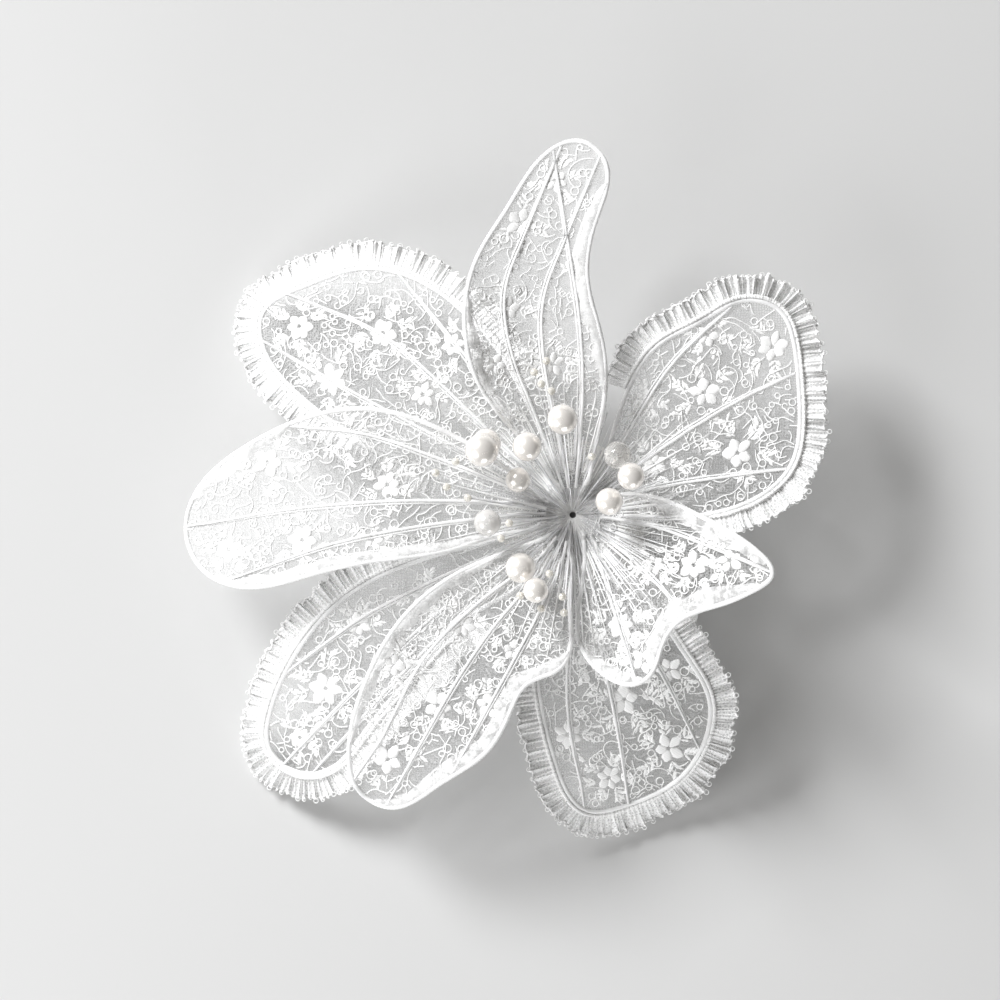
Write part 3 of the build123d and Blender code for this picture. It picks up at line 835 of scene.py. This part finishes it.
# petal, plan points near which the band starts and ends (mm), and its width (mm)
turnings = [
    ("front_top", (6.5, 66), (6, 24), 3.4),
    ("front_top", (-20.5, 44), (-9, 20), 3.0),
    ("front_left", (-72, -12), (-16, -4), 3.2),
    ("front_left", (-74, 2), (-56, 17), 3.0),
    ("front_lower_left", (-40, -57), (-4, -26), 3.6),
    ("front_lower_left", (-14, -12), (-43, -46), 3.0),
    ("front_lower_right", (3, -26), (15, -34), 3.0),
    ("front_lower_right", (17, -32), (37, -14), 4.2),
    ("front_lower_right", (38, -10), (14, 0), 3.4),
]
for number, (name, start, end, width) in enumerate(turnings, start=1):
    petal = petals[name]
    first, last = (
        int(np.argmin(np.linalg.norm(petal.outline - np.array(point) * MM, axis=1)))
        for point in (start, end)
    )
    count = len(petal.outline)
    ahead = (last - first) % count
    route = [(first + k) % count for k in range(ahead + 1)]
    if ahead > count / 2:
        route = [(first - k) % count for k in range(count - ahead + 1)]
    both = even(np.hstack([petal.outline[route], petal.outwards[route] * 0.02]), 0.4 * MM)
    line, outwards = both[:, :2], both[:, 2:] / 0.02
    share = np.linspace(0, 1, len(line))
    reach_in = width * MM * np.clip(np.sin(pi * share), 0, 1) ** 0.45
    reach_in *= np.interp(share, np.linspace(0, 1, 14), rng.uniform(0.65, 1.1, 14))
    creases = np.interp(share, np.linspace(0, 1, 30), rng.uniform(-1.5, 1.5, 30))
    creases = creases + share * len(line) / 3.1
    rows = 6
    laid = []
    for r in range(rows):
        part = r / (rows - 1)
        band = petal.lay(line - outwards * (reach_in * part)[:, None])
        hump = sin(pi * min(part + 0.12, 1))
        band[:, 2] += (0.25 + 0.75 * hump) * 0.75 * MM + 0.22 * MM * part * np.sin(creases)
        laid.append(band)
    wide = len(line)
    faces = [
        (r * wide + i, r * wide + i + 1, (r + 1) * wide + i + 1, (r + 1) * wide + i)
        for r in range(rows - 1) for i in range(wide - 1)
    ]
    band = piece(
        f"turned_net_{number}", np.vstack(laid), faces, doubled_material
    )

# ------------------------------------------------------------ the throat
# The nets of the front petals are drawn together round the stamens, so fine folds and strands
# fan out of the throat and fade away along the petals.

front = [petals[n] for n in ("front_top", "front_left", "front_lower_left", "front_lower_right")]
back = [p for p in petals.values() if p not in front]
throat_rim, throat_depth = 0.7 * MM, 1.7 * MM


def drape_height(x, y, lift):
    """Height of the uppermost petal over a plan point, eased together close to the throat."""
    reach_out = hypot(x, y)
    over = [p for p in front if p.depth_at(x, y) > -0.6 * MM]
    over = over or [p for p in back if p.depth_at(x, y) > 0]
    mean = np.mean([p.lay([(x, y)])[0][2] for p in front])
    own = max(p.lay([(x, y)])[0][2] for p in over) if over else mean
    ease = min(max((reach_out - 4 * MM) / (6 * MM), 0), 1)
    dip = throat_depth * np.exp(-((reach_out / (2.4 * MM)) ** 2))
    return own * ease + mean * (1 - ease) + lift - dip


strands = Stitching()
for i in range(200):
    turn = tau * (i + rng.uniform(-0.35, 0.35)) / 200
    end = rng.uniform(9, 25) * MM if i % 3 else rng.uniform(20, 34) * MM
    sway = rng.uniform(-0.05, 0.05)
    outs = np.linspace(throat_rim, end, 26)
    line = np.array([
        (r * cos(turn + sway * r / end), r * sin(turn + sway * r / end),
         drape_height(r * cos(turn + sway * r / end), r * sin(turn + sway * r / end), 0.35 * MM))
        for r in outs
    ])
    line = smoothed(line, 4)
    wide = rng.uniform(0.14, 0.3) * MM
    taper = np.clip((1 - (outs / end) ** 3), 0.12, 1) * np.clip(0.35 + outs / (7 * MM), 0, 1)
    strands.cord(line, wide * taper, sides=5, side=(-sin(turn), cos(turn), 0), flat=0.7)
piece("throat_gathers", strands.verts, strands.faces, thread_material)

funnel_verts, funnel_faces = [], []
spokes, rings = 180, 12
for k in range(rings):
    r = throat_rim * 0.9 + (8.2 * MM - throat_rim) * (k / (rings - 1)) ** 1.2
    for i in range(spokes):
        turn = tau * i / spokes
        fold = 0.3 * MM * min(1, r / (5 * MM)) * sin(turn * 45 + 2 * sin(3 * turn))
        x, y = r * cos(turn), r * sin(turn)
        funnel_verts.append((x, y, drape_height(x, y, 0) + fold))
for k in range(rings - 1):
    for i in range(spokes):
        j = (i + 1) % spokes
        inner, outer = k * spokes, (k + 1) * spokes
        funnel_faces.append((inner + i, inner + j, outer + j, outer + i))


def gathered_net_finish():
    finish = Finish(
        "gathered_net", (0.985, 0.985, 0.98), 0.6,
        **{"Sheen Weight": 0.3, "Specular IOR Level": 0.2, "Subsurface Weight": 0.8,
           "Subsurface Radius": (1, 1, 1), "Subsurface Scale": 0.002},
    )
    finish.set(Alpha=0.72 + 0.25 * finish.noise(900, 2))
    finish.bump(finish.noise(2500, 2), 0.00008, 0.6)
    return finish.material


throat_net = piece(
    "throat_net", funnel_verts, funnel_faces, gathered_net_finish()
)

# ------------------------------------------------------------ pearls, beads and filaments
# Pearls and glass beads are glued on the ends of silvered wires, and small seed beads on clear
# filaments. All of them stand up out of the throat.


def pearl_finish(name, colour, deep, **sockets):
    finish = Finish(
        name, colour, 0.2,
        **{
            "Coat Weight": 0.7, "Coat Roughness": 0.05, "Coat IOR": 1.5, "Metallic": 0.32, **sockets
        },
    )
    layers = finish.noise(260, 3)
    finish.set(**{"Base Color": finish.mix(layers, colour, deep)})
    finish.set(Roughness=0.2 + 0.12 * finish.noise(700, 2))
    return finish.material


pearl_material = pearl_finish("pearl_coating", (0.95, 0.905, 0.85), (0.96, 0.93, 0.895))
milky_material = pearl_finish(
    "milky_bead", (0.95, 0.94, 0.925), (0.93, 0.91, 0.885),
    **{"Transmission Weight": 0.4, "Metallic": 0.05},
)


def crackle_finish():
    finish = Finish(
        "crackle_bead", (1.0, 0.985, 0.96), 0.05, **{"Transmission Weight": 0.85, "IOR": 1.45}
    )
    cracks = finish.node(
        "ShaderNodeTexVoronoi", {"feature": "DISTANCE_TO_EDGE"},
        {"Vector": finish.place, "Scale": 330.0, "Randomness": 1.0},
    )["Distance"]
    finish.set(Roughness=0.3 - 0.27 * cracks.above(0.04, 0.03))
    finish.bump(cracks.above(0.05, 0.05), 0.00003, 0.4)
    return finish.material


def seed_finish():
    finish = Finish(
        "seed_glass", (0.99, 0.97, 0.92), 0.05,
        **{"Transmission Weight": 0.45, "Coat Weight": 0.6, "IOR": 1.5},
    )
    tone = finish.noise(300, 2)
    finish.set(**{"Base Color": finish.mix(tone, (1.0, 0.985, 0.95), (0.99, 0.95, 0.86))})
    return finish.material


def give(node, material):
    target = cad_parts[node]
    target.data.materials.clear()
    target.data.materials.append(material)


odd_beads = {6: milky_material, 11: crackle_finish()}
for number in range(1, 12):
    give(f"pearl_{number:02d}", odd_beads.get(number, pearl_material))
give("seed_beads", seed_finish())

stem_finish = Finish("silvered_wire", (0.86, 0.86, 0.87), 0.3, Metallic=0.6)
stem_finish.bump(stem_finish.noise(2400, 2), 0.00004, 0.5)
filament_finish = Finish(
    "nylon_filament", (0.96, 0.96, 0.97), 0.22, **{"Transmission Weight": 0.25, "Coat Weight": 0.3}
)
filament_finish.bump(filament_finish.noise(1800, 2), 0.00003, 0.4)
throat_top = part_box("stem_bundle")[1].z


def stalk(sewn, end, radius, low=0.42):
    """A stem from the throat that runs out along the petals and then up to its bead."""
    turn = atan2(end[1], end[0])
    foot = np.array([0.9 * MM * cos(turn), 0.9 * MM * sin(turn), throat_top])
    end = np.array(end)
    middle = foot + (end - foot) * np.array([0.55, 0.55, low])
    s = np.linspace(0, 1, 30)[:, None]
    line = foot * (1 - s) ** 2 + 2 * middle * s * (1 - s) + end * s**2
    for point in line:
        if 3 * MM < hypot(point[0], point[1]):
            point[2] = max(point[2], drape_height(point[0], point[1], 0.7 * MM))
    line[-1] = end
    sewn.cord(smoothed(line, 5), radius, sides=6, side=(-sin(turn), cos(turn), 0))


sewn = Stitching()
for number in range(1, 12):
    low_corner, high_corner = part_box(f"pearl_{number:02d}")
    stalk(sewn, (low_corner + high_corner) / 2, 0.2 * MM)
made = piece("pearl_wires", sewn.verts, sewn.faces, stem_finish.material)
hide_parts("pearl_stems")

sewn = Stitching()
for points in islands("seed_beads"):
    stalk(sewn, (points.min(0) + points.max(0)) / 2, 0.13 * MM, 0.5)
made = piece("bead_filaments", sewn.verts, sewn.faces, filament_finish.material)
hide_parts("bead_sprays")

sewn = Stitching()
for i in range(64):
    turn = tau * (i + rng.uniform(-0.4, 0.4)) / 64
    out = rng.uniform(13, 22) * MM
    x, y = out * cos(turn), out * sin(turn)
    tip = (x, y, drape_height(x, y, rng.uniform(0.8, 3.0) * MM))
    stalk(sewn, tip, rng.uniform(0.1, 0.16) * MM, 0.5)
made = piece("loose_filaments", sewn.verts, sewn.faces, filament_finish.material)
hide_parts("stamen_filaments")

# ------------------------------------------------------------ stem, binding and felt
# The wire legs are bound to the taped stamen stems with cotton thread. The bound stem stands
# through a felt disc, which a felt strap holds on the clip's upper jaw.

binding_low, binding_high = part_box("binding_thread")
winding_radius = (binding_high.x - binding_low.x) / 2 - 0.3 * MM
winding_thread = 0.25 * MM
turns = (binding_high.z - binding_low.z) / (2 * winding_thread)
wound = np.linspace(0, tau * turns, int(turns * 40))
sewn = Stitching()
for layer in (0.0, -0.4 * MM):
    radius = winding_radius + layer
    helix = np.column_stack([
        radius * np.cos(wound), radius * np.sin(wound),
        binding_low.z + winding_thread + wound / tau * (2 * winding_thread) * (1 - 1 / turns),
    ])
    sewn.cord(helix, winding_thread, sides=8)
made = piece("wound_thread", sewn.verts, sewn.faces, wrapped_material)
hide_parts("binding_thread")

tape_finish = Finish("stem_tape", (0.88, 0.87, 0.84), 0.7, **{"Sheen Weight": 0.2})
on_plan = tape_finish.node(
    "ShaderNodeVectorMath", {"operation": "MULTIPLY"}, {0: tape_finish.place, 1: (1.0, 1.0, 0.0)}
)["Vector"]
reach_out = tape_finish.node("ShaderNodeVectorMath", {"operation": "LENGTH"}, {"Vector": on_plan})
# painted shade: within 0.7 mm of the axis the tape is coloured near-black, standing for the dark
# hollow between the stems
painted_hole_shade = reach_out["Value"].above(0.0007, 0.0002)
tape_finish.set(**{"Base Color": tape_finish.mix(painted_hole_shade, (0.03, 0.03, 0.03), (0.88, 0.87, 0.84))})
tape_finish.bump(tape_finish.noise(700, 4), 0.0003, 0.8)
give("stem_bundle", tape_finish.material)


def felt_finish():
    finish = Finish(
        "pressed_felt", (0.90, 0.89, 0.87), 0.95, **{"Sheen Weight": 0.5, "Sheen Roughness": 0.6}
    )
    fibres = finish.noise(1300, 5, 0.7)
    finish.set(**{"Base Color": finish.mix(fibres, (0.84, 0.83, 0.80), (0.94, 0.93, 0.91))})
    finish.bump(fibres + 0.5 * finish.noise(300, 3), 0.0003, 0.9)
    return finish.material


felt_material = felt_finish()
give("felt_base", felt_material)
give("felt_strap", felt_material)

# ------------------------------------------------------------ the clip
# Two folded steel jaws in white lacquer turn on a riveted pin, and a torsion spring of bright
# wire holds their teeth together.


def lacquer_finish():
    finish = Finish(
        "white_lacquer", (0.90, 0.90, 0.89), 0.28, **{"Coat Weight": 0.5, "Coat Roughness": 0.12}
    )
    worn = finish.noise(420, 5, 0.65).above(0.71, 0.02)
    finish.set(**{"Base Color": finish.mix(worn, (0.90, 0.90, 0.89), (0.55, 0.55, 0.55))})
    finish.set(Metallic=worn * 0.8, Roughness=0.24 + 0.2 * finish.noise(600, 3))
    finish.bump(finish.noise(500, 2), 0.00004, 0.5)
    return finish.material


def steel_finish(name, colour, roughness):
    finish = Finish(name, colour, roughness, Metallic=1.0)
    drawn = finish.noise(1500, 3)
    finish.set(Roughness=roughness + 0.15 * drawn)
    finish.bump(drawn, 0.00003, 0.5)
    return finish.material


lacquer = lacquer_finish()
give("upper_jaw", lacquer)
give("lower_jaw", lacquer)
give("hinge_pin", steel_finish("pin_steel", (0.72, 0.72, 0.73), 0.25))
give("clip_spring", steel_finish("spring_wire", (0.62, 0.62, 0.63), 0.2))
